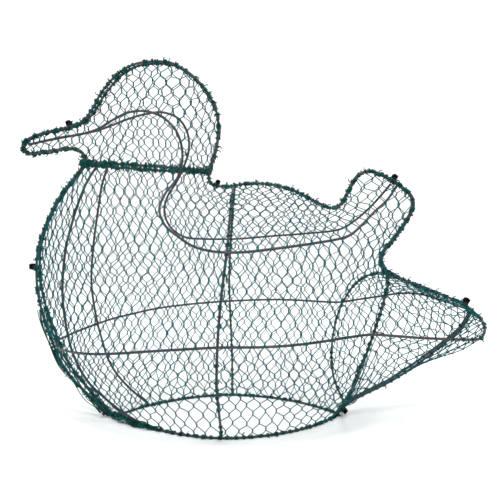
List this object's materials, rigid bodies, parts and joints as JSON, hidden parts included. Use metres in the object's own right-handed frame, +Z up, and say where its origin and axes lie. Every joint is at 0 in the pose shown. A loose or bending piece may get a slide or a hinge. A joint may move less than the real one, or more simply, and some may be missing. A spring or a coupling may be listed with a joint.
{
  "type": "topiary frame",
  "caption": "Sitting duck topiary frame of bent round rods covered in hexagonal wire netting, open underneath, standing on two curved base rods.",
  "frame": {"origin": "middle of the bounding box in plan, on the ground under the base rods", "axes": "+Z up; the bill points along -X and the tail along +X; the duck's left side is -Y; Y = 0 is the symmetry plane"},
  "size_m": [0.5344, 0.2928, 0.4226],
  "materials": {
    "rod_paint": "dark brown-purple paint, satin, on steel rod",
    "net_wire": "dark green coated netting wire, satin",
    "tie_nylon": "black nylon, slightly glossy"
  },
  "bodies": {
    "root": {"outline_rod_left": "rod_paint", "wing_rod_left": "rod_paint", "belly_rod_left": "rod_paint", "mid_hoop_rod_left": "rod_paint", "breast_rod_left": "rod_paint", "tail_hoop_rod_left": "rod_paint", "base_rod_left": "rod_paint", "collar_rod_left": "rod_paint", "outline_rod_right": "rod_paint", "wing_rod_right": "rod_paint", "belly_rod_right": "rod_paint", "mid_hoop_rod_right": "rod_paint", "breast_rod_right": "rod_paint", "tail_hoop_rod_right": "rod_paint", "base_rod_right": "rod_paint", "collar_rod_right": "rod_paint", "net_body_left_front": "net_wire", "net_body_left_rear": "net_wire", "net_body_right_front": "net_wire", "net_body_right_rear": "net_wire", "net_head_left": "net_wire", "net_head_right": "net_wire", "net_bill_left": "net_wire", "net_bill_right": "net_wire", "net_tail_left_upper": "net_wire", "net_tail_left_lower": "net_wire", "net_tail_right_upper": "net_wire", "net_tail_right_lower": "net_wire", "tie_bill": "tie_nylon", "tie_breast": "tie_nylon", "tie_nape": "tie_nylon", "tie_wing_tip": "tie_nylon", "tie_tail": "tie_nylon", "tie_base_rear": "tie_nylon", "tie_base_front": "tie_nylon"}
  },
  "joints": []
}
